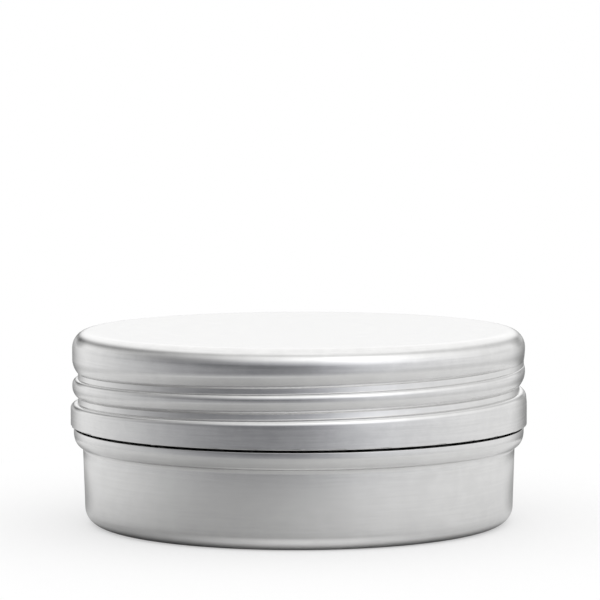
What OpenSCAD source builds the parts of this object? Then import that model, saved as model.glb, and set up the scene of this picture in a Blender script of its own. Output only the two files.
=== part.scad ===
// Round screw-top tin, closed: a drawn cup with a rolled thread on its neck, a drawn lid with a pressed
// helical groove, and a loose sealing disc between them. Millimetres, +Z up, with the origin at the middle
// of the flat underside. Angles run anticlockwise from +X seen from above, and the front is at 270.

/* [Sheet] */
// Thickness of the drawn sheet
sheet = 0.35; // [0.25:0.05:0.45]

/* [Cup] */
// Outside diameter of the neck and of the top of the wall
neck_d = 64.4; // [60:0.2:70]
// Inward lean of the wall, from its top down to the foot, per side
wall_lean = 0.27; // [0.1:0.01:0.5]
// Radius of the bottom corner
foot_r = 2.4; // [1.2:0.1:4]
// Height of the mouth's curled rim
cup_h = 27.1; // [25.5:0.1:32]
// Radius of the curl round the mouth
curl_r = 0.6; // [0.5:0.05:0.8]
// How far the curl is rolled, in degrees
curl_turn = 250; // [180:10:290]

/* [Stop bead] */
// Height of the bead that the skirt stops over
bead_h = 2.65; // [2.35:0.05:3]
// Share of that height which lies below the widest place
bead_low_share = 0.75; // [0.6:0.05:0.8]
// Radius of the creases where the bead leaves the wall
crease_r = 0.4; // [0.3:0.05:0.45]

/* [Lid] */
// Height of the lid from its cut edge to its top
lid_h = 14.1; // [13.4:0.1:15]
// Radius of the edge round the top
crown_r = 2.6; // [2.1:0.1:2.8]
// How far the skirt stands out past the upper band
skirt_step = 0.28; // [0.15:0.01:0.5]

/* [Thread] */
// Climb of the thread in one turn
pitch = 3.6; // [3.4:0.1:3.9]
// Depth of the lid's groove below the upper band
groove_depth = 0.87; // [0.6:0.01:1]
// Width of the groove's flat floor
groove_floor = 0.7; // [0.6:0.05:0.85]
// Height of the rounded shoulder under the floor
shoulder_h = 0.85; // [0.75:0.05:1]
// How steeply the undercut over the floor starts, as the power of the curve that it follows up to the bead
undercut_power = 2.2; // [1.8:0.1:2.4]
// Width left uncut on the bead between two passes
crest_land = 0.05; // [0.05:0.05:0.25]
// Height of the groove's lower pass above the cut edge, at the front
groove_z = 4.66; // [4.4:0.02:5]
// Angle at which the groove starts, 2 past a whole step so that no facet's edge lies on the seam at 0
groove_start = 77; // [62:5:87]
// Length of the groove, in degrees
groove_turn = 655; // [600:5:680]
// Length over which each end of a thread fades out, in degrees
fade_turn = 50; // [30:5:60]
// Angle at which the cup's ridge starts, 2 past a whole step as well
ridge_start = 152; // [102:5:202]
// Length of the cup's ridge, in degrees
ridge_turn = 450; // [360:5:500]
// Height of the cup's ridge along its foot
ridge_w = 1.6; // [1.2:0.05:1.7]

/* [Liner] */
// Thickness of the sealing disc
liner_t = 1; // [0.6:0.1:1.4]

/* [Fits] */
// Gap between the threads, measured towards the axis
thread_gap = 0.3; // [0.2:0.02:0.4]
// Gap between the ridge's crest and the inside of the band
crest_gap = 0.22; // [0.16:0.02:0.3]
// Gap between the skirt's inside and the stop bead
skirt_gap = 0.1; // [0.08:0.02:0.3]
// Gap between the cut edge and the top of the stop bead
edge_gap = 0.45; // [0.3:0.05:0.55]
// Gap between the rim and the sealing disc
seal_gap = 0.15; // [0.1:0.05:0.3]
// Gap between the sealing disc and the inside of the lid
liner_gap = 0.1; // [0.1:0.02:0.2]

/* [Hidden] */
$fn = 96;
FRONT = 270;
RING_STEP = 5;
ARC_STEPS = 7;
FLANK_STEPS = 4;
METAL = [0.80, 0.80, 0.79];
FOAM = [0.95, 0.95, 0.93];
// How far the ridge's solids reach past the face of the neck that they join or cut
reach = 0.05;
// How far the groove's solids start from the faces of the lid's sheet
tool_reach = 0.12;
// Share of the sheet by which the undercut starts higher on the inside of the lid than on the outside
inner_rise = 0.4;

// Cup
neck_r = neck_d / 2;
foot_wall_r = neck_r - wall_lean;
// Lid, from the neck outwards and from the rim upwards
floor_r = neck_r + thread_gap + sheet;
band_r = floor_r + groove_depth;
skirt_r = band_r + skirt_step;
liner_z = cup_h + seal_gap;
top_z = liner_z + liner_t + liner_gap + sheet;
edge_z = top_z - lid_h;
groove_front_z = edge_z + groove_z;
undercut_h = pitch - groove_floor - shoulder_h - crest_land;
// Stop bead, from the cut edge downwards
bead_r = skirt_r - sheet - skirt_gap;
bead_in = neck_r + crease_r;
bead_top = edge_z - edge_gap;
bead_low = bead_top - bead_h;
bead_mid = bead_low + bead_h * bead_low_share;
// Ridge, midway between two passes of the lid's groove
ridge_crest_r = band_r - sheet - crest_gap;
ridge_rise = (pitch + (undercut_h - shoulder_h) / 4) / 2;

// Points of an arc or of a quarter ellipse, from angle a0 to a1, in the plane of radius and height
function arc(middle, size, a0, a1, steps = ARC_STEPS) =
    [for (i = [0:steps]) let (a = a0 + (a1 - a0) * i / steps) middle + [size.x * cos(a), size.y * sin(a)]];

function round_arc(middle, r, a0, a1, steps = ARC_STEPS) = arc(middle, [r, r], a0, a1, steps);

// Which way a path runs at one of its points
function heading(path, i) =
    let (step = path[min(i + 1, len(path) - 1)] - path[max(i - 1, 0)])
    step / norm(step);

// The path moved sideways, to its left where the distance is above 0
function beside(path, distance) =
    [for (i = [0:len(path) - 1]) let (d = heading(path, i)) path[i] + distance * [-d.y, d.x]];

function reversed(path) = [for (i = [len(path) - 1:-1:0]) path[i]];

function rest(path) = [for (i = [1:len(path) - 1]) path[i]];

// A sheet of even thickness that follows the path, as an outline to be turned
function sheet_outline(path, thickness) = concat(path, reversed(beside(path, thickness)));

// From 0 to 1 with level ends
function ease(x) = let (t = max(0, min(1, x))) t * t * (3 - 2 * t);

// How much of its depth a thread has at an angle past its start
function fade(turned, whole) = ease(turned / fade_turn) * ease((whole - turned) / fade_turn);

// Height of the groove's middle at an angle
function groove_height(angle) = groove_front_z + pitch * (angle - FRONT) / 360;

// Outside radius of the lid beside the groove, which narrows evenly from the skirt to the band over one pitch
function lid_r(z) = band_r + skirt_step * max(0, min(1, 0.5 - (z - groove_front_z) / pitch));

// Share of its way that a groove's solid has made where the groove has this share of its depth
function made(share) = share == 0 ? 0 : (groove_depth * share + tool_reach) / (groove_depth + tool_reach);

// Section of the groove: heights from its middle and the share of its solid's way to the floor. The shoulder
// is a quarter ellipse, the undercut a curve, and grow widens the floor for the inside of the sheet
function groove_section(grow) =
    let (
        half = groove_floor / 2,
        low = shoulder_h - grow,
        start = half + grow * inner_rise,
        high = half + undercut_h - start
    )
    concat(
        [for (i = [0:FLANK_STEPS])
            let (a = 90 * (1 - i / FLANK_STEPS))
            [-half - shoulder_h + low * cos(a), made(1 - sin(a))]],
        [for (i = [0:FLANK_STEPS])
            let (up = i / FLANK_STEPS)
            [start + high * up, made(pow(1 - up, undercut_power))]]
    );

// Tool for the lid's groove at one angle: the open side lies outside the lid
function groove_ring(angle) =
    let (
        depth = fade(angle - groove_start, groove_turn),
        section = groove_section(0),
        z = groove_height(angle),
        last = len(section) - 1,
        outside = skirt_r + 2 * tool_reach
    )
    concat(
        [for (p = section) let (r = lid_r(z + p.x) + tool_reach) [z + p.x, r - (r - floor_r) * depth * p.y]],
        [[z + section[last].x, outside], [z + section[0].x, outside]]
    );

// The metal that the groove pushes inwards, at one angle: it ends inside the wall of the lid
function inner_ring(angle) =
    let (
        depth = fade(angle - groove_start, groove_turn),
        section = groove_section(sheet),
        z = groove_height(angle),
        last = len(section) - 1
    )
    concat(
        [for (p = section)
            let (r = lid_r(z + p.x) - sheet + tool_reach, floor_in = floor_r - sheet)
            [z + p.x, r - (r - floor_in) * depth * p.y]],
        [for (p = [section[last], section[0]]) [z + p.x, lid_r(z + p.x) - tool_reach]]
    );

// Round ridge on the cup's neck at one angle, standing on a cylinder of radius foot
function ridge_ring(angle, foot, crest, width) =
    let (
        depth = fade(angle - ridge_start, ridge_turn),
        z = groove_height(angle) + ridge_rise,
        steps = 2 * FLANK_STEPS
    )
    concat(
        [[z - width / 2, foot - sheet / 2], [z + width / 2, foot - sheet / 2]],
        [for (i = [steps:-1:0])
            let (share = depth * (1 - cos(360 * i / steps)) / 2)
            [z + width * (i / steps - 0.5), foot - reach + (crest - foot + reach) * share]]
    );

// Solid through a row of rings, each given as [height, radius] points at its angle
module threaded(angles, rings) {
    side = len(rings[0]);
    count = len(rings);
    points = [for (k = [0:count - 1]) for (p = rings[k]) [p.y * cos(angles[k]), p.y * sin(angles[k]), p.x]];
    walls = [for (k = [0:count - 2]) for (i = [0:side - 1])
        let (a = k * side + i, b = k * side + (i + 1) % side)
        each [[a, b + side, b], [a, a + side, b + side]]];
    start_cap = [[for (i = [0:side - 1]) i]];
    end_cap = [[for (i = [side - 1:-1:0]) (count - 1) * side + i]];
    polyhedron(points, concat(walls, start_cap, end_cap));
}

function thread_angles(start, turn) = [for (a = [start:RING_STEP:start + turn]) a];

module cup() {
    wall = concat(
        [[0, 0]],
        round_arc([foot_wall_r - foot_r, foot_r], foot_r, -90, 0),
        round_arc([bead_in, bead_low - crease_r], crease_r, 180, 90, 3),
        rest(arc([bead_in, bead_mid], [bead_r - bead_in, bead_mid - bead_low], -90, 0)),
        rest(arc([bead_in, bead_mid], [bead_r - bead_in, bead_top - bead_mid], 0, 90)),
        rest(round_arc([bead_in, bead_top + crease_r], crease_r, 270, 180, 3)),
        round_arc([neck_r - curl_r, cup_h - curl_r], curl_r, 0, curl_turn, 2 * ARC_STEPS)
    );
    angles = thread_angles(ridge_start, ridge_turn);
    color(METAL) difference() {
        union() {
            rotate_extrude() polygon(sheet_outline(wall, sheet));
            threaded(angles, [for (a = angles) ridge_ring(a, neck_r, ridge_crest_r, ridge_w)]);
        }
        threaded(angles, [for (a = angles) ridge_ring(a, neck_r - sheet, ridge_crest_r - sheet, ridge_w - sheet)]);
    }
}

module lid() {
    wall = concat(
        [[0, top_z]],
        round_arc([band_r - crown_r, top_z - crown_r], crown_r, 90, 0),
        [[band_r, groove_front_z + pitch / 2], [skirt_r, groove_front_z - pitch / 2], [skirt_r, edge_z]]
    );
    angles = thread_angles(groove_start, groove_turn);
    color(METAL) difference() {
        union() {
            rotate_extrude() polygon(sheet_outline(wall, -sheet));
            threaded(angles, [for (a = angles) inner_ring(a)]);
        }
        threaded(angles, [for (a = angles) groove_ring(a)]);
    }
}

module liner() {
    middle = [band_r - crown_r, top_z - crown_r];
    edge_r = crown_r - sheet - liner_gap;
    low_angle = asin((liner_z - middle.y) / edge_r);
    outline = concat([[0, liner_z]], round_arc(middle, edge_r, low_angle, 90), [[0, liner_z + liner_t]]);
    color(FOAM) rotate_extrude() polygon(outline);
}

cup();
lid();
liner();
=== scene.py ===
"""Dresses the screw top tin: its rolled lid, its rimmed cup and the sealing disc inside, in metres."""

import logging
import math
from dataclasses import dataclass, field
from enum import Enum
from typing import Callable, Dict, List, Optional, Sequence, Tuple, Union

import bmesh
import bpy
from mathutils import Matrix, Vector


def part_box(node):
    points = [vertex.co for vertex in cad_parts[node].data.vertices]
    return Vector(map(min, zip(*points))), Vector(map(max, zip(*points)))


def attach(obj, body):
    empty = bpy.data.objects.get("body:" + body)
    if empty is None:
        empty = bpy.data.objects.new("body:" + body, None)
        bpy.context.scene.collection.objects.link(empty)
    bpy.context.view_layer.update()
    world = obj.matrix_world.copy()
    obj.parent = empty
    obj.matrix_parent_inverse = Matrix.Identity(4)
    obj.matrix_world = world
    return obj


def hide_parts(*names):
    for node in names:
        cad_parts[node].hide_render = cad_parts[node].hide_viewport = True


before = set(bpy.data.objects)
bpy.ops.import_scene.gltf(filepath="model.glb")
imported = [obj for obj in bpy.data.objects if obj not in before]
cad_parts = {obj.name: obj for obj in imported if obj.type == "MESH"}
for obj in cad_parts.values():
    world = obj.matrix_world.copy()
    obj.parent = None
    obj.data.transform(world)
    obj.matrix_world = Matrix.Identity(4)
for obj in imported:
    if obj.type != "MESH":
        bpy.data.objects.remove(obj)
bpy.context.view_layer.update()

LOG = logging.getLogger("tin")
MM = 0.001
TURN = 2 * math.pi
Point = Tuple[float, float]
Number = Union[int, float]


class Part(Enum):
    """The tin's bodies and the nodes that they hold."""

    CUP = ("cup_body", "cup", "sheet")
    LID = ("lid_shell", "lid", "sheet")
    LINER = ("lid_carrier", "liner", "liner_foam")

    @property
    def body(self) -> str:
        """Name of the body that the part rides on."""
        return self.value[0]

    @property
    def node(self) -> str:
        """Name of the node that the part stands for."""
        return self.value[1]

    @property
    def slot(self) -> str:
        """Name of the record's material slot."""
        return self.value[2]


def ease(x: float) -> float:
    """From 0 to 1 with level ends."""
    t = max(0.0, min(1.0, x))
    return t * t * (3 - 2 * t)


def arc(middle: Point, radii: Point, start: float, end: float, steps: int) -> List[Point]:
    """Points of a circle's or an ellipse's arc in the plane of radius and height.

    Args:
        middle: Radius and height of the arc's middle.
        radii: Half widths of the arc along the radius and the height.
        start: First angle in degrees.
        end: Last angle in degrees.
        steps: How many steps the arc takes.

    Returns:
        The points, both ends included.
    """
    angles = [math.radians(start + (end - start) * i / steps) for i in range(steps + 1)]
    return [(middle[0] + radii[0] * math.cos(a), middle[1] + radii[1] * math.sin(a)) for a in angles]


class Lathe:
    """Makes a turned and rolled sheet with Blender's own operators."""

    STEPS = 256
    NEAR = 2e-6

    def __init__(self, name: str) -> None:
        """Starts with one vertex on the tin's axis.

        Args:
            name: Name of the piece.
        """
        if bpy.context.mode != "OBJECT":
            bpy.ops.object.mode_set(mode="OBJECT")
        bpy.ops.object.select_all(action="DESELECT")
        bpy.ops.mesh.primitive_plane_add(size=MM, location=(0, 0, 0))
        self.piece = bpy.context.active_object
        self.piece.name = name
        self.piece.data.name = name
        bpy.ops.object.mode_set(mode="EDIT")
        bpy.ops.mesh.select_all(action="SELECT")
        bpy.ops.mesh.merge(type="CENTER")

    def draw(self, path: Sequence[Point]) -> None:
        """Moves the first vertex to the path's start and extrudes it along the path.

        Args:
            path: Radius and height of each point.
        """
        bpy.ops.transform.translate(value=(path[0][0], 0, path[0][1]))
        for (r0, z0), (r1, z1) in zip(path, path[1:]):
            bpy.ops.mesh.extrude_region_move(TRANSFORM_OT_translate={"value": (r1 - r0, 0, z1 - z0)})

    def spin(self) -> None:
        """Turns the drawn path once round the axis and closes it."""
        bpy.ops.mesh.select_all(action="SELECT")
        bpy.ops.mesh.spin(steps=self.STEPS, angle=TURN, center=(0, 0, 0), axis=(0, 0, 1))
        self.close()

    def close(self) -> None:
        """Merges what meets and points the faces outwards."""
        bpy.ops.mesh.select_all(action="SELECT")
        bpy.ops.mesh.remove_doubles(threshold=2e-6)
        bpy.ops.mesh.normals_make_consistent(inside=False)

    def screw(self, pitch: float, turns: int) -> None:
        """Turns the drawn path round the axis as a screw thread.

        Args:
            pitch: Rise in one turn.
            turns: How many turns.
        """
        bpy.ops.object.mode_set(mode="OBJECT")
        bpy.ops.object.modifier_add(type="SCREW")
        thread = self.piece.modifiers[-1]
        thread.axis = "Z"
        thread.angle = TURN
        thread.screw_offset = pitch
        thread.iterations = turns
        thread.steps = self.STEPS
        thread.render_steps = self.STEPS
        bpy.ops.object.modifier_apply(modifier=thread.name)
        bpy.ops.object.mode_set(mode="EDIT")
        bpy.ops.mesh.select_all(action="SELECT")
        bpy.ops.mesh.remove_doubles(threshold=2e-6)

    def trim(self, low: float, high: float) -> None:
        """Cuts off what lies below one height and above another."""
        for height, keep_below in ((high, True), (low, False)):
            bpy.ops.mesh.select_all(action="SELECT")
            bpy.ops.mesh.bisect(plane_co=(0, 0, height), plane_no=(0, 0, 1),
                                clear_outer=keep_below, clear_inner=not keep_below,
                                threshold=self.NEAR / 10)

    def select_ring(self, height: float) -> None:
        """Selects the open edges that lie at a height."""
        bpy.ops.mesh.select_all(action="DESELECT")
        bpy.ops.mesh.select_mode(type="EDGE")
        shape = bmesh.from_edit_mesh(self.piece.data)
        for edge in shape.edges:
            level = all(abs(v.co.z - height) < self.NEAR for v in edge.verts)
            edge.select_set(level and edge.is_boundary)
        bmesh.update_edit_mesh(self.piece.data)

    def carry_on(self, path: Sequence[Point]) -> None:
        """Extrudes the open ring at the path's first height through the path's other points.

        Args:
            path: Radius and height of each ring. A radius of 0 closes the ring at its middle.
        """
        self.select_ring(path[0][1])
        for (r0, z0), (r1, z1) in zip(path, path[1:]):
            bpy.ops.mesh.extrude_region_move(TRANSFORM_OT_translate={"value": (0, 0, z1 - z0)})
            if r1 == 0:
                bpy.ops.mesh.merge(type="CENTER")
            else:
                bpy.ops.transform.resize(value=(r1 / r0, r1 / r0, 1), center_override=(0, 0, 0))
        bpy.ops.mesh.select_mode(type="VERT")

    def press(self, radius: Callable[[float, float, float], float]) -> None:
        """Moves each vertex in or out.

        Args:
            radius: Gives the new radius from a vertex's radius, azimuth in degrees and height.
        """
        bpy.ops.object.mode_set(mode="OBJECT")
        for vertex in self.piece.data.vertices:
            x, y, z = vertex.co
            r = math.hypot(x, y)
            if r > self.NEAR:
                scale = radius(r, math.degrees(math.atan2(y, x)), z) / r
                vertex.co = (x * scale, y * scale, z)
        bpy.ops.object.mode_set(mode="EDIT")

    def thicken(self, sheet: float) -> None:
        """Gives the skin its thickness, inwards."""
        bpy.ops.object.mode_set(mode="OBJECT")
        bpy.ops.object.modifier_add(type="SOLIDIFY")
        wall = self.piece.modifiers[-1]
        wall.thickness = sheet
        wall.offset = -1
        wall.use_even_offset = True
        bpy.ops.object.modifier_apply(modifier=wall.name)

    def finish(self, part: Part, material: bpy.types.Material, sharp: float = 35) -> bpy.types.Object:
        """Shades the piece, dresses it and lets it ride.

        Args:
            part: Which part of the tin the piece stands for.
            material: The piece's material.
            sharp: Angle in degrees past which an edge stays sharp.

        Returns:
            The finished piece.
        """
        if bpy.context.mode != "OBJECT":
            bpy.ops.object.mode_set(mode="OBJECT")
        bpy.ops.object.shade_smooth_by_angle(angle=math.radians(sharp))
        self.piece.data.materials.clear()
        self.piece.data.materials.append(material)
        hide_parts(part.node)
        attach(self.piece, part.body)
        LOG.info("%s: %d faces on %s", self.piece.name, len(self.piece.data.polygons), part.body)
        return self.piece


class Wire:
    """A node's socket, or a number, that can be used in sums."""

    def __init__(self, bench: "Bench", socket: bpy.types.NodeSocket) -> None:
        """Wraps an output socket of the bench's tree."""
        self.bench = bench
        self.socket = socket

    def _sum(self, operation: str, a: object, b: object) -> "Wire":
        """Adds a Math node of two values."""
        return self.bench.add("ShaderNodeMath", {"operation": operation}, {0: a, 1: b})

    def __add__(self, other: object) -> "Wire":
        """This value and another."""
        return self._sum("ADD", self, other)

    __radd__ = __add__

    def __sub__(self, other: object) -> "Wire":
        """This value less another."""
        return self._sum("SUBTRACT", self, other)

    def __rsub__(self, other: object) -> "Wire":
        """Another value less this one."""
        return self._sum("SUBTRACT", other, self)

    def __mul__(self, other: object) -> "Wire":
        """This value times another."""
        return self._sum("MULTIPLY", self, other)

    __rmul__ = __mul__

    def __truediv__(self, other: object) -> "Wire":
        """This value over another."""
        return self._sum("DIVIDE", self, other)

    def __pow__(self, other: object) -> "Wire":
        """This value to a power."""
        return self._sum("POWER", self, other)

    def at_least(self, other: object) -> "Wire":
        """The larger of this value and another."""
        return self._sum("MAXIMUM", self, other)


class Bench:
    """A node tree with one way to add a node, and a shorter one for sums."""

    def __init__(self, tree: bpy.types.NodeTree) -> None:
        """Empties the tree."""
        self.tree = tree
        tree.nodes.clear()

    def add(self, kind: str, settings: Optional[Dict[str, object]] = None,
            sockets: Optional[Dict[object, object]] = None, output: object = 0) -> Wire:
        """Adds a node.

        Args:
            kind: The node's type.
            settings: Its own settings, which are set first.
            sockets: Values or wires of its input sockets, by name or number.
            output: Name or number of the output that is returned.

        Returns:
            The output as a wire, or the node's first output.
        """
        node = self.tree.nodes.new(kind)
        for name, value in (settings or {}).items():
            setattr(node, name, value)
        for key, value in (sockets or {}).items():
            if isinstance(value, Wire):
                self.tree.links.new(value.socket, node.inputs[key])
            else:
                node.inputs[key].default_value = value
        return Wire(self, node.outputs[output] if len(node.outputs) else None)

    def math(self, operation: str, *values: object) -> Wire:
        """Adds a Math node.

        Args:
            operation: What the node works out.
            values: Its numbers or wires, in order.

        Returns:
            The result as a wire.
        """
        return self.add("ShaderNodeMath", {"operation": operation}, dict(enumerate(values)))

    def blend(self, share: object, low: object, high: object) -> Wire:
        """A colour between two others."""
        return self.add("ShaderNodeMix", {"data_type": "RGBA"}, {0: share, 6: low, 7: high}, 2)

    def part(self, vector: Wire, axis: str) -> Wire:
        """A vector's X, Y or Z."""
        return self.add("ShaderNodeSeparateXYZ", None, {0: vector}, axis)

    def rising(self, value: Wire, low: float, high: float) -> Wire:
        """From 0 to 1 with level ends as a value rises, or falls, from low to high."""
        return self.add("ShaderNodeMapRange", {"interpolation_type": "SMOOTHSTEP"},
                        {"Value": value, "From Min": low, "From Max": high})


@dataclass(frozen=True)
class SatinSheet:
    """Bare aluminium sheet, finely brushed round the tin."""

    pale: Tuple[float, float, float, float] = (0.752, 0.750, 0.744, 1)
    dark: Tuple[float, float, float, float] = (0.694, 0.692, 0.688, 1)
    roughness: float = 0.20
    roughness_swing: float = 0.04
    streaks_across: float = 3400
    streaks_along: float = 130
    mottle: float = 420
    spread: float = 0.15
    relief: float = 0.002 * MM

    def make(self) -> bpy.types.Material:
        """Makes the material.

        Returns:
            The material with its brushed streaks and faint mottling.
        """
        material = bpy.data.materials.new("satin_sheet")
        material.use_nodes = True
        bench = Bench(material.node_tree)
        place = bench.add("ShaderNodeTexCoord", output="Object")
        flat = bench.add("ShaderNodeVectorMath", {"operation": "MULTIPLY"}, {0: place, 1: (1, 1, 0)}, "Vector")
        away = bench.add("ShaderNodeVectorMath", {"operation": "LENGTH"}, {0: flat}, "Value")
        stretched = bench.add("ShaderNodeCombineXYZ", None, {
            "X": self.streaks_along * bench.part(place, "X"),
            "Y": self.streaks_across * away,
            "Z": self.streaks_across * bench.part(place, "Z")})
        streaks = bench.add("ShaderNodeTexNoise", None, {
            "Vector": stretched, "Scale": 1.0, "Detail": 3.0, "Roughness": 0.6})
        mottle = bench.add("ShaderNodeTexNoise", None, {
            "Vector": place, "Scale": self.mottle, "Detail": 4.0, "Roughness": 0.65})
        mixed = streaks * 0.5 + mottle * 0.5
        grain = bench.rising(mixed, 0.5 - self.spread, 0.5 + self.spread)
        colour = bench.blend(grain, self.dark, self.pale)
        roughness = self.roughness + self.roughness_swing * (grain - 0.5)
        bump = bench.add("ShaderNodeBump", None, {
            "Strength": 0.5, "Distance": self.relief, "Height": mixed})
        shader = bench.add("ShaderNodeBsdfPrincipled", None, {
            "Base Color": colour, "Metallic": 1.0, "Roughness": roughness, "Normal": bump})
        bench.add("ShaderNodeOutputMaterial", None, {"Surface": shader})
        return material


@dataclass(frozen=True)
class WhiteFoam:
    """Matt white foam with fine cells."""

    pale: Tuple[float, float, float, float] = (0.90, 0.90, 0.88, 1)
    dark: Tuple[float, float, float, float] = (0.82, 0.82, 0.80, 1)
    cells: float = 2600
    roughness: float = 0.75
    relief: float = 0.03 * MM

    def make(self) -> bpy.types.Material:
        """Makes the material.

        Returns:
            The material with its fine cells.
        """
        material = bpy.data.materials.new("white_foam")
        material.use_nodes = True
        bench = Bench(material.node_tree)
        place = bench.add("ShaderNodeTexCoord", output="Object")
        cells = bench.add("ShaderNodeTexVoronoi", None, {"Vector": place, "Scale": self.cells})
        cloud = bench.add("ShaderNodeTexNoise", None, {
            "Vector": place, "Scale": self.cells / 8, "Detail": 3.0})
        mixed = cells * 0.5 + cloud * 0.5
        colour = bench.blend(mixed, self.dark, self.pale)
        bump = bench.add("ShaderNodeBump", None, {
            "Strength": 0.4, "Distance": self.relief, "Height": mixed})
        shader = bench.add("ShaderNodeBsdfPrincipled", None, {
            "Base Color": colour, "Roughness": self.roughness, "Normal": bump})
        bench.add("ShaderNodeOutputMaterial", None, {"Surface": shader})
        return material


@dataclass(frozen=True)
class Thread:
    """The helix that the lid's groove and the cup's ridge share, with its angles in degrees."""

    pitch: float = 3.6 * MM
    above_edge: float = 4.66 * MM
    front: float = 270
    fade_turn: float = 50

    def height(self, edge: float, angle: float) -> float:
        """Height of the groove's middle at an angle, over a lid whose edge is at a height."""
        return edge + self.above_edge + self.pitch * (angle - self.front) / 360

    def fade(self, turned: float, whole: float) -> float:
        """How much of its depth a thread has at an angle past its start."""
        return ease(turned / self.fade_turn) * ease((whole - turned) / self.fade_turn)

    def nearest(self, edge: float, azimuth: float, height: float) -> Tuple[float, float]:
        """The pass of the groove that is nearest to a place.

        Args:
            edge: Height of the lid's edge.
            azimuth: Azimuth of the place.
            height: Height of the place.

        Returns:
            The angle along the helix, and the place's height over the groove's middle there.
        """
        turns = round((height - self.height(edge, azimuth)) / self.pitch)
        angle = azimuth + 360 * turns
        return angle, height - self.height(edge, angle)


@dataclass
class Lid:
    """The lid's shell, with the rolled groove in its side."""

    material: bpy.types.Material
    thread: Thread
    sheet: float = 0.35 * MM
    crown: float = 2.5 * MM
    crown_lean: float = 4
    crown_run: float = 0.5 * MM
    step: float = 0.28 * MM
    depth: float = 0.87 * MM
    floor: float = 0.7 * MM
    shoulder: float = 0.85 * MM
    land: float = 0.05 * MM
    floor_tilt: float = 0.10
    swell: float = 2.3
    top_undercut: float = 2.3 * MM
    hem: float = 0.08 * MM
    groove_start: float = 77
    groove_turn: float = 655
    flank_rows: int = 12
    low: float = field(init=False)
    top: float = field(init=False)
    skirt: float = field(init=False)

    def __post_init__(self) -> None:
        """Takes the lid's reach from the frame."""
        low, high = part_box(Part.LID.node)
        self.low, self.top, self.skirt = low[2], high[2], high[0]

    @property
    def band(self) -> float:
        """Radius of the band above the groove."""
        return self.skirt - self.step

    @property
    def crown_foot(self) -> float:
        """Height at which the rounded corner starts, which leans there already."""
        return self.top - self.crown * (1 - math.sin(math.radians(self.crown_lean)))

    @property
    def crown_inset(self) -> float:
        """How far the wall runs in below the rounded corner."""
        return math.tan(math.radians(self.crown_lean)) * self.crown_run / 2

    @property
    def undercut(self) -> float:
        """Height of the flank above the groove's floor."""
        return self.thread.pitch - self.floor - self.shoulder - self.land

    def beside(self, height: float) -> float:
        """Radius beside the groove, which narrows from the skirt to the band over one pitch."""
        middle = self.low + self.thread.above_edge
        run = max(0.0, 1 + (height - self.crown_foot) / self.crown_run)
        step = self.step * (1 - ease((height - middle) / self.thread.pitch + 0.5))
        return self.band + step - self.crown_inset * run * run

    def reach(self, angle: float) -> float:
        """Height of the flank above the floor, which grows up to the crown past the last pass's start."""
        room = self.crown_foot - self.thread.height(self.low, angle) - self.floor / 2
        above = self.thread.fade(angle + 360 - self.groove_start, self.groove_turn)
        return self.undercut * above + min(room, self.top_undercut) * (1 - above)

    def share(self, over: float, reach: float) -> float:
        """Share of the groove's depth at a height over its middle: shoulder, tilted floor, undercut."""
        half = self.floor / 2
        if over < half:
            down = max(0.0, min(1.0, (-over - half) / self.shoulder))
            tilt = self.floor_tilt * max(0.0, min(1.0, (half - over) / self.floor))
            return (1 - tilt) * (1 - math.sqrt(1 - (1 - down) ** 2))
        return max(0.0, 1 - (over - half) / reach) ** self.swell

    def pressed(self, angle: float, over: float) -> float:
        """How far one pass of the groove is pressed in at a height over its middle, from 0 to 1."""
        depth = self.thread.fade(angle - self.groove_start, self.groove_turn)
        return depth * self.share(over, self.reach(angle)) if depth else 0.0

    def radius(self, r: float, azimuth: float, height: float) -> float:
        """Radius of the rolled wall at a place, or the radius that it had where the groove isn't."""
        if height > self.crown_foot or height < self.low + self.hem:
            return r
        angle, over = self.thread.nearest(self.low, azimuth, height)
        plain = self.beside(height)
        inset = max(self.pressed(angle, over), self.pressed(angle - 360, over + self.thread.pitch))
        return plain - (plain - self.band + self.depth) * inset

    def rows(self) -> List[float]:
        """Heights of the wall's rows over the groove's middle, through one pitch."""
        half = self.floor / 2
        turned = [math.radians(90 * i / self.flank_rows) for i in range(self.flank_rows + 1)]
        shoulder = [-half - self.shoulder + self.shoulder * math.sin(a) for a in turned]
        floor = [half * share for share in (-0.5, 0, 0.5, 0.85, 1)]
        undercut = [half + self.undercut * (i / (2 * self.flank_rows)) ** 1.2
                    for i in range(1, 2 * self.flank_rows + 1)]
        return shoulder + floor + undercut + [half + self.undercut + self.land]

    def build(self) -> bpy.types.Object:
        """Makes the lid.

        Returns:
            The finished piece.
        """
        lathe = Lathe("lid_rolled")
        start = self.thread.height(self.low, 0) - 2 * self.thread.pitch
        lathe.draw([(self.band, start + row) for row in self.rows()])
        lathe.screw(self.thread.pitch, 2 + math.ceil((self.crown_foot - start) / self.thread.pitch))
        lathe.trim(self.low + self.hem, self.crown_foot)
        inner = self.band - self.crown_inset - self.crown * math.cos(math.radians(self.crown_lean))
        crown = [(self.band, self.crown_foot)]
        crown += arc((inner, self.top - self.crown), (self.crown, self.crown), self.crown_lean, 90, 20)[1:]
        lathe.carry_on(crown + [(inner * share, self.top) for share in (0.98, 0.9, 0.6, 0.3, 0)])
        lathe.close()
        lathe.press(self.radius)
        hem = arc((self.skirt - self.hem, self.low + self.hem), (self.hem, self.hem), 0, -90, 6)
        lathe.carry_on(hem)
        lathe.thicken(self.sheet)
        return lathe.finish(Part.LID, self.material)


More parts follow.
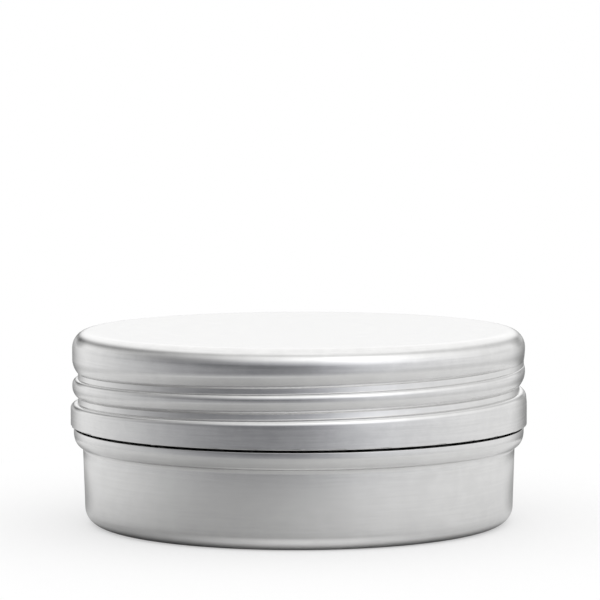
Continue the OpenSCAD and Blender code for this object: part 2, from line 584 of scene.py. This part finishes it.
@dataclass
class Cup:
    """The cup, with its foot, stop bead, threaded neck and rolled rim."""

    material: bpy.types.Material
    thread: Thread
    lid: Lid
    neck: float = 32.2 * MM
    lean: float = 0.27 * MM
    foot: float = 2.4 * MM
    sheet: float = 0.35 * MM
    curl: float = 0.6 * MM
    curl_turn: float = 250
    bead_corner: float = 0.12 * MM
    bead_flat: float = 0.5 * MM
    bead_low: float = 2.05 * MM
    bead_gap: float = 0.1 * MM
    edge_gap: float = 0.35 * MM
    crease: float = 0.2 * MM
    crease_h: float = 0.6 * MM
    crest_gap: float = 0.22 * MM
    ridge_start: float = 152
    ridge_turn: float = 450
    ridge: float = 1.6 * MM
    neck_rows: int = 26

    @property
    def top(self) -> float:
        """Height of the rim."""
        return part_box(Part.CUP.node)[1][2]

    @property
    def bead_top(self) -> float:
        """Height at which the stop bead starts."""
        return self.lid.low - self.edge_gap

    @property
    def ridge_rise(self) -> float:
        """How far the ridge runs over the groove's middle."""
        return (self.thread.pitch + (self.lid.undercut - self.lid.shoulder) / 4) / 2

    def radius(self, r: float, azimuth: float, height: float) -> float:
        """Radius of the threaded neck at a place, or the radius that it had elsewhere."""
        if abs(r - self.neck) > Lathe.NEAR:
            return r
        angle, over = self.thread.nearest(self.lid.low + self.ridge_rise, azimuth, height)
        depth = self.thread.fade(angle - self.ridge_start, self.ridge_turn)
        crest = self.lid.band - self.sheet - self.crest_gap
        share = (1 + math.cos(TURN * over / self.ridge)) / 2 if abs(over) < self.ridge / 2 else 0
        return r + (crest - self.neck) * depth * share

    def below_neck(self) -> List[Point]:
        """The cup's outline from the neck's foot down to the axis."""
        bead_r = self.lid.skirt - self.lid.sheet - self.bead_gap
        upper = self.bead_top - self.bead_corner
        middle = upper - self.bead_flat
        low = middle - self.bead_low
        out = self.neck + self.crease
        wall_top = low - self.crease_h
        wall_foot = self.neck - self.lean
        corner = wall_foot - self.foot
        wall = [(self.neck + (wall_foot - self.neck) * i / 12,
                 wall_top + (self.foot - wall_top) * i / 12) for i in range(1, 12)]
        return (
            arc((out, self.bead_top + self.crease), (self.crease, self.crease), 180, 270, 6)
            + arc((bead_r - self.bead_corner, upper), (self.bead_corner, self.bead_corner), 90, 0, 6)
            + arc((out, middle), (bead_r - out, self.bead_low), 0, -90, 20)
            + arc((out, wall_top), (self.crease, self.crease_h), 90, 180, 10)[1:]
            + wall
            + arc((corner, self.foot), (self.foot, self.foot), 0, -90, 14)
            + [(corner * share, 0.0) for share in (0.98, 0.9, 0.6, 0.3, 0)]
        )

    def build(self) -> bpy.types.Object:
        """Makes the cup.

        Returns:
            The finished piece.
        """
        lathe = Lathe("cup_rolled")
        pitch = self.thread.pitch
        start = self.thread.height(self.lid.low + self.ridge_rise, 0) - pitch * 2.5
        rows = [start + pitch * i / self.neck_rows for i in range(self.neck_rows + 1)]
        lathe.draw([(self.neck, z) for z in rows])
        neck_foot = self.bead_top + self.crease
        curl_z = self.top - self.curl
        lathe.screw(pitch, 2 + math.ceil((curl_z - start) / pitch))
        lathe.trim(neck_foot, curl_z)
        lathe.carry_on(arc((self.neck - self.curl, curl_z), (self.curl, self.curl), 0, self.curl_turn, 24))
        lathe.carry_on(self.below_neck())
        lathe.close()
        lathe.press(self.radius)
        lathe.thicken(self.sheet)
        return lathe.finish(Part.CUP, self.material)


@dataclass
class Liner:
    """The soft sealing disc, which fits into the lid's corner."""

    material: bpy.types.Material
    lid: Lid
    gap: float = 0.1 * MM

    def build(self) -> bpy.types.Object:
        """Makes the liner.

        Returns:
            The finished piece.
        """
        low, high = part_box(Part.LINER.node)
        middle = (self.lid.band - self.lid.crown, self.lid.top - self.lid.crown)
        edge = self.lid.crown - self.lid.sheet - self.gap
        first = math.degrees(math.asin((low[2] - middle[1]) / edge))
        flat = middle[0]
        side = arc(middle, (edge, edge), first, 90, 12)
        under = [(flat * share, low[2]) for share in (0.0001, 0.3, 0.6, 0.9, 0.99)]
        over = [(flat * share, high[2]) for share in (0.99, 0.9, 0.6, 0.3, 0.0001)]
        lathe = Lathe("liner_disc")
        lathe.draw(under + side + over)
        lathe.spin()
        bpy.ops.mesh.select_all(action="SELECT")
        bpy.ops.mesh.remove_doubles(threshold=flat * 0.0003)
        bpy.ops.mesh.normals_make_consistent(inside=False)
        return lathe.finish(Part.LINER, self.material)


@dataclass(frozen=True)
class Patch:
    """Soft patch of the surroundings that is brighter, or darker, than what lies round it.

    Angles are in degrees: turned from the camera's side towards its right, and up from the table.
    """

    turned: float
    up: float
    wide: float
    tall: float
    deep: float
    amount: float
    power: float = 2.0

    def shape(self, bench: Bench, turned: Wire, up: Wire) -> Wire:
        """How much of the patch lies a way, from 0 to 1.

        Args:
            bench: Tree that the nodes go into.
            turned: How far the way is turned.
            up: How far it rises.

        Returns:
            The share.
        """
        across = bench.math("WRAP", turned - self.turned, 180, -180)
        over = (up - self.up).at_least(0.0) / self.tall + (self.up - up).at_least(0.0) / self.deep
        away = bench.math("ABSOLUTE", across / self.wide) ** self.power + over ** self.power
        return bench.math("EXPONENT", 0 - away)


@dataclass(frozen=True)
class Studio:
    """White table, white surroundings with grey cards round the camera, and the camera's place."""

    camera_right: float = 0.225 * MM
    camera_away: float = 493.3 * MM
    camera_height: float = 71.76 * MM
    camera_tilt: float = 4.490
    camera_roll: float = -0.126
    lens: float = 199.19
    table_radius: float = 85 * MM
    paper: float = 0.98
    white: float = 0.45
    light: float = 1.05
    below: float = 0.81
    level: float = 1.09
    above: float = 1.23
    camera_side: Patch = Patch(-10, -1, 68, 33, 14, -0.84)
    others: Tuple[Patch, ...] = (
        Patch(-75, 28, 50, 30, 30, -0.68),
        Patch(177, -5, 34, 7, 9, -0.78, 4),
        Patch(-154, 7, 9, 7, 5, -0.60, 4),
        Patch(154, 6, 9, 8, 5, -0.60, 4),
        Patch(122, 14, 28, 16, 20, -0.20),
        Patch(37, 24, 24, 30, 30, 0.50),
        Patch(25, 48, 48, 18, 18, 0.32),
    )
    gap_rise: float = 5
    gap_lean: float = 51
    gap_wide: float = 4.5
    gap_low_wide: float = 9
    gap: float = 0.40
    gap_right: float = 0.42
    gap_left: float = 0.72
    cool: float = 0.08
    # Painted light: the table that the metal sees is brighter near the tin's foot than further out, most of
    # all in front of it.
    table_near: float = 0.93
    table_painted_front_light: float = 0.55
    table_front_wide: float = 32
    table_far: float = 0.88
    # Painted reflection: the table that the metal sees is darker round 28 degrees to the left of the camera's
    # side, where a dark card is painted in.
    table_painted_card_reflection: float = 0.395
    table_dark_turned: float = -28
    table_dark_wide: float = 50
    # Painted shade: the table that the metal sees is darker towards the back, over a wider angle further from
    # the foot.
    table_painted_back_shade: float = 0.505
    table_back_turn: float = 0.8 / MM
    # Painted shade: the table that the metal sees is darker right under the tin's foot.
    table_painted_foot_shade: float = 0.45
    painted_shade_full_radius: float = 30.2 * MM
    near_foot: float = 32.2 * MM
    past_foot: float = 36 * MM

    def camera(self) -> None:
        """Sets the camera where the photograph was taken from."""
        data = bpy.data.cameras.new("camera")
        data.lens = self.lens
        data.sensor_width = 36
        data.clip_start = 0.01
        camera = bpy.data.objects.new("camera", data)
        bpy.context.scene.collection.objects.link(camera)
        turn = Matrix.Rotation(math.radians(90 - self.camera_tilt), 3, "X")
        turn = turn @ Matrix.Rotation(math.radians(self.camera_roll), 3, "Z")
        camera.location = Vector((self.camera_right, -self.camera_away, self.camera_height))
        camera.rotation_euler = turn.to_euler()
        bpy.context.scene.camera = camera

    def turned(self, bench: Bench, way: Wire) -> Wire:
        """How far a way is turned from the camera's side towards its right, in degrees."""
        return bench.math("ARCTAN2", bench.part(way, "X"), 0 - bench.part(way, "Y")) * math.degrees(1)

    def floor(self) -> None:
        """Lays the white table top, which the metal sees in painted greys of what lies round it: painted light
        near the foot, a painted reflection of a dark card, and painted shade towards the back and under the
        foot.
        """
        bpy.ops.object.select_all(action="DESELECT")
        bpy.ops.mesh.primitive_circle_add(vertices=128, radius=self.table_radius, fill_type="NGON")
        table = bpy.context.active_object
        table.name = "table_top"
        material = bpy.data.materials.new("table_top")
        material.use_nodes = True
        bench = Bench(material.node_tree)
        place = bench.add("ShaderNodeTexCoord", output="Object")
        turned = self.turned(bench, place)
        away = bench.add("ShaderNodeVectorMath", {"operation": "LENGTH"}, {0: place}, "Value")
        # The table's colour for the metal is painted light: brighter near the foot and in front, a painted
        # reflection of a dark card, and painted shade towards the back and under the foot.
        far = bench.rising(away, self.near_foot, self.past_foot)
        across = bench.math("WRAP", turned - self.table_dark_turned, 180, -180) / self.table_dark_wide
        dark = self.table_painted_card_reflection * bench.math("EXPONENT", 0 - across * across)
        round_back = bench.math("ABSOLUTE", turned) - self.table_back_turn * away
        back = self.table_painted_back_shade * bench.rising(round_back, 60, 86)
        front = turned / self.table_front_wide
        level = self.table_far - dark
        near = self.table_near * level + self.table_painted_front_light * bench.math("EXPONENT", 0 - front * front)
        # Painted shade under the tin's foot, deepest inside the foot's radius.
        under = self.table_painted_foot_shade + (1 - self.table_painted_foot_shade) * bench.rising(
            away, self.painted_shade_full_radius, self.near_foot)
        grey = (near + (level - near) * far - back) * under
        paper = bench.add("ShaderNodeBsdfDiffuse", None, {"Color": (self.paper, self.paper, self.paper, 1)})
        white = bench.add("ShaderNodeEmission", None, {"Strength": 1.0})
        clear = bench.add("ShaderNodeLightPath", output="Is Camera Ray")
        clear = clear.at_least(bench.add("ShaderNodeLightPath", output="Is Transmission Ray"))
        paper = bench.add("ShaderNodeMixShader", None, {0: self.white * clear, 1: paper, 2: white})
        # Only glossy rays see these painted greys; the camera sees the white paper.
        painted_greys_shader = bench.add("ShaderNodeBsdfDiffuse", None, {"Color": grey})
        glossy = bench.add("ShaderNodeLightPath", output="Is Glossy Ray")
        shader = bench.add("ShaderNodeMixShader", None, {0: glossy, 1: paper, 2: painted_greys_shader})
        bench.add("ShaderNodeOutputMaterial", None, {"Surface": shader})
        material.cycles.emission_sampling = "NONE"
        table.data.materials.append(material)

    def surroundings(self) -> None:
        """Surrounds the table with white, which the metal sees with the grey cards in it."""
        scene = bpy.context.scene
        scene.view_settings.view_transform = "Standard"
        world = bpy.data.worlds.new("studio")
        scene.world = world
        world.use_nodes = True
        world.cycles.sampling_method = "NONE"
        bench = Bench(world.node_tree)
        way = bench.add("ShaderNodeTexCoord", output="Generated")
        turned = self.turned(bench, way)
        up = bench.math("ARCSINE", bench.part(way, "Z")) * math.degrees(1)
        dark = self.camera_side.shape(bench, turned, up)
        seen = self.below + (self.level - self.below) * bench.rising(up, -14, -4)
        seen = seen + (self.above - self.level) * bench.rising(up, 5, 12)
        seen = seen + self.camera_side.amount * dark
        for patch in self.others:
            seen = seen + patch.amount * patch.shape(bench, turned, up)
        rise = math.radians(self.gap_rise)
        front = (0, -math.cos(rise), math.sin(rise))
        halfway = bench.add("ShaderNodeVectorMath", {"operation": "ADD"}, {0: way, 1: front}, "Vector")
        halfway = bench.add("ShaderNodeVectorMath", {"operation": "NORMALIZE"}, {0: halfway}, "Vector")
        lean = bench.math("ARCCOSINE", bench.part(halfway, "Z"))
        low = 1 - bench.rising(up, 25, 65)
        wide = self.gap_wide + (self.gap_low_wide - self.gap_wide) * low
        from_gap = (lean * math.degrees(1) - self.gap_lean) / wide
        gap = bench.math("EXPONENT", 0 - from_gap * from_gap)
        side = self.gap_right + (self.gap_left - self.gap_right) * bench.rising(turned, -60, -130)
        amount = self.gap + (side - self.gap) * low
        seen = (seen - amount * gap).at_least(0.02)
        clear = bench.add("ShaderNodeLightPath", output="Is Camera Ray")
        clear = clear.at_least(bench.add("ShaderNodeLightPath", output="Is Transmission Ray"))
        glossy = bench.add("ShaderNodeLightPath", output="Is Glossy Ray")
        plain = clear + self.light * (1 - clear)
        colour = bench.add("ShaderNodeCombineColor", None, {
            "Red": 1 - self.cool * dark * glossy, "Green": 1 - 0.8 * self.cool * dark * glossy, "Blue": 1.0})
        shader = bench.add("ShaderNodeBackground", None, {
            "Color": colour, "Strength": glossy * seen + (1 - glossy) * plain})
        bench.add("ShaderNodeOutputWorld", None, {"Surface": shader})


def main() -> None:
    """Builds the studio and the tin's parts, and notes their sizes."""
    logging.basicConfig(level=logging.INFO, format="%(message)s")
    studio = Studio()
    studio.camera()
    sheet = SatinSheet().make()
    foam = WhiteFoam().make()
    thread = Thread()
    lid = Lid(sheet, thread)
    for part in (lid, Cup(sheet, thread, lid), Liner(foam, lid)):
        part.build()
    studio.floor()
    studio.surroundings()


if __name__ == "__main__":
    main()
